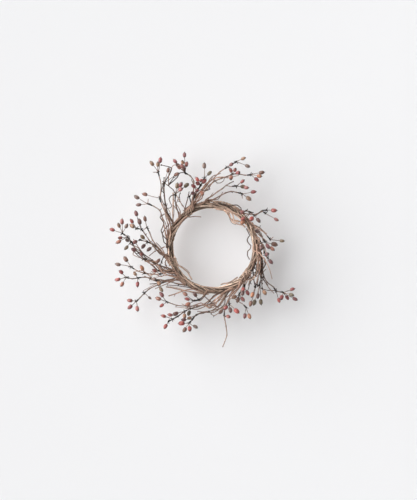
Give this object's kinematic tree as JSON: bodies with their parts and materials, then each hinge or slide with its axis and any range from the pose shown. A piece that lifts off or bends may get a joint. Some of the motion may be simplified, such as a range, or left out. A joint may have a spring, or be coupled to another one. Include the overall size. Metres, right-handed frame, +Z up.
{
  "type": "berry wreath",
  "caption": "Hanging wreath of twisted vines round an open centre, with long berry sprigs that sweep clockwise, bare twigs and curly tendrils.",
  "frame": {"origin": "the point on the inside of the vine ring, at twelve o'clock, that rests on a wall hook", "axes": "+Z up as it hangs, +X to the viewer's right, -Y out of the wreath's face toward the viewer"},
  "size_m": [0.3376, 0.0555, 0.3511],
  "materials": {
    "vine": "dry bark",
    "binding": "dry reddish bark",
    "twig": "dry grey-brown bark",
    "tendril": "dry pale bark",
    "berry_red": "satin, mottled red",
    "berry_crimson": "satin, mottled crimson",
    "berry_plum": "satin, mottled plum",
    "berry_olive": "satin, mottled olive",
    "berry_amber": "satin, mottled amber",
    "berry_brown": "satin, mottled brown"
  },
  "bodies": {
    "wreath": {"core_vine": "vine", "ring_vine_1": "vine", "ring_vine_2": "vine", "ring_vine_3": "vine", "binding_vine_upper_left": "binding", "binding_vine_lower_right": "binding", "binding_vine_left": "binding", "loose_vine_upper_right": "vine", "loose_vine_lower_left": "vine", "loose_vine_lower_right": "vine", "loose_vine_upper_right_over": "vine", "loose_vine_upper_right_under": "vine", "loose_vine_upper_left": "vine", "loose_vine_bottom": "vine", "loose_vine_right_outer": "vine", "loose_vine_left_outer": "vine", "tendril_top_loop": "tendril", "tendril_inner_right": "tendril", "tendril_left_upper": "tendril", "tendril_left_lower": "tendril", "twig_inner_upper_left": "twig", "twig_lower_right_bare": "twig", "twig_lower_left_cut": "twig", "sprig_upper_left_second": "berry_brown", "sprig_upper_left_olive": "berry_olive", "sprig_top_crown": "berry_crimson", "sprig_top_long_upper": "berry_plum", "sprig_top_long_lower": "berry_brown", "sprig_top_right_fork": "berry_red", "sprig_top_right_low": "berry_plum", "sprig_right_single": "berry_brown", "sprig_right_pair": "berry_brown", "sprig_lower_right_olive": "berry_olive", "sprig_lower_right_amber": "berry_amber", "sprig_lower_right_long": "berry_crimson", "sprig_bottom_right_crimson": "berry_crimson", "sprig_bottom_right_amber": "berry_amber", "sprig_bottom_tail": "berry_brown", "sprig_bottom_left_long": "berry_plum", "sprig_bottom_left_red": "berry_red", "sprig_bottom_left_amber": "berry_amber", "sprig_left_low_plain": "berry_brown", "sprig_left_brown": "berry_brown", "sprig_left_red_long": "berry_red", "sprig_left_short_plum": "berry_plum", "sprig_left_single": "berry_brown", "sprig_left_grey": "berry_brown"},
    "upper_left_tall": {"sprig_upper_left_tall": "berry_amber"},
    "top_red_bunch": {"sprig_top_red_bunch": "berry_red"},
    "right_upper": {"sprig_right_upper": "berry_red"},
    "right_plum": {"sprig_right_plum": "berry_plum"},
    "bottom_red": {"sprig_bottom_red": "berry_red"},
    "bottom_left_short": {"sprig_bottom_left_short": "berry_red"},
    "left_low_plum": {"sprig_left_low_plum": "berry_plum"},
    "left_plum_pair": {"sprig_left_plum_pair": "berry_plum"}
  },
  "joints": [
    {"name": "upper_left_tall_lift", "type": "hinge", "parent": "wreath", "child": "upper_left_tall", "pos_m": [-0.077, -0.00642, -0.05473], "axis": [0.2079, 0, 0.9781], "range_deg": [0, 20]},
    {"name": "top_red_bunch_lift", "type": "hinge", "parent": "wreath", "child": "top_red_bunch", "pos_m": [-0.04137, -0.00715, -0.00616], "axis": [0.8434, 0, 0.5373], "range_deg": [0, 30]},
    {"name": "right_upper_lift", "type": "hinge", "parent": "wreath", "child": "right_upper", "pos_m": [0.04638, -0.00488, -0.00362], "axis": [0.8241, 0, -0.5664], "range_deg": [0, 20]},
    {"name": "right_plum_lift", "type": "hinge", "parent": "wreath", "child": "right_plum", "pos_m": [0.07187, -0.00698, -0.04279], "axis": [0.3665, 0, -0.9304], "range_deg": [0, 30]},
    {"name": "bottom_red_lift", "type": "hinge", "parent": "wreath", "child": "bottom_red", "pos_m": [0.05792, -0.00716, -0.12145], "axis": [-0.6561, 0, -0.7547], "range_deg": [0, 30]},
    {"name": "bottom_left_short_lift", "type": "hinge", "parent": "wreath", "child": "bottom_left_short", "pos_m": [-0.00341, -0.00697, -0.14925], "axis": [-0.999, 0, 0.0436], "range_deg": [0, 30]},
    {"name": "left_low_plum_lift", "type": "hinge", "parent": "wreath", "child": "left_low_plum", "pos_m": [-0.05322, -0.00625, -0.13126], "axis": [-0.749, 0, 0.6626], "range_deg": [0, 30]},
    {"name": "left_plum_pair_lift", "type": "hinge", "parent": "wreath", "child": "left_plum_pair", "pos_m": [-0.07608, -0.00634, -0.09436], "axis": [-0.2924, 0, 0.9563], "range_deg": [0, 30]}
  ]
}
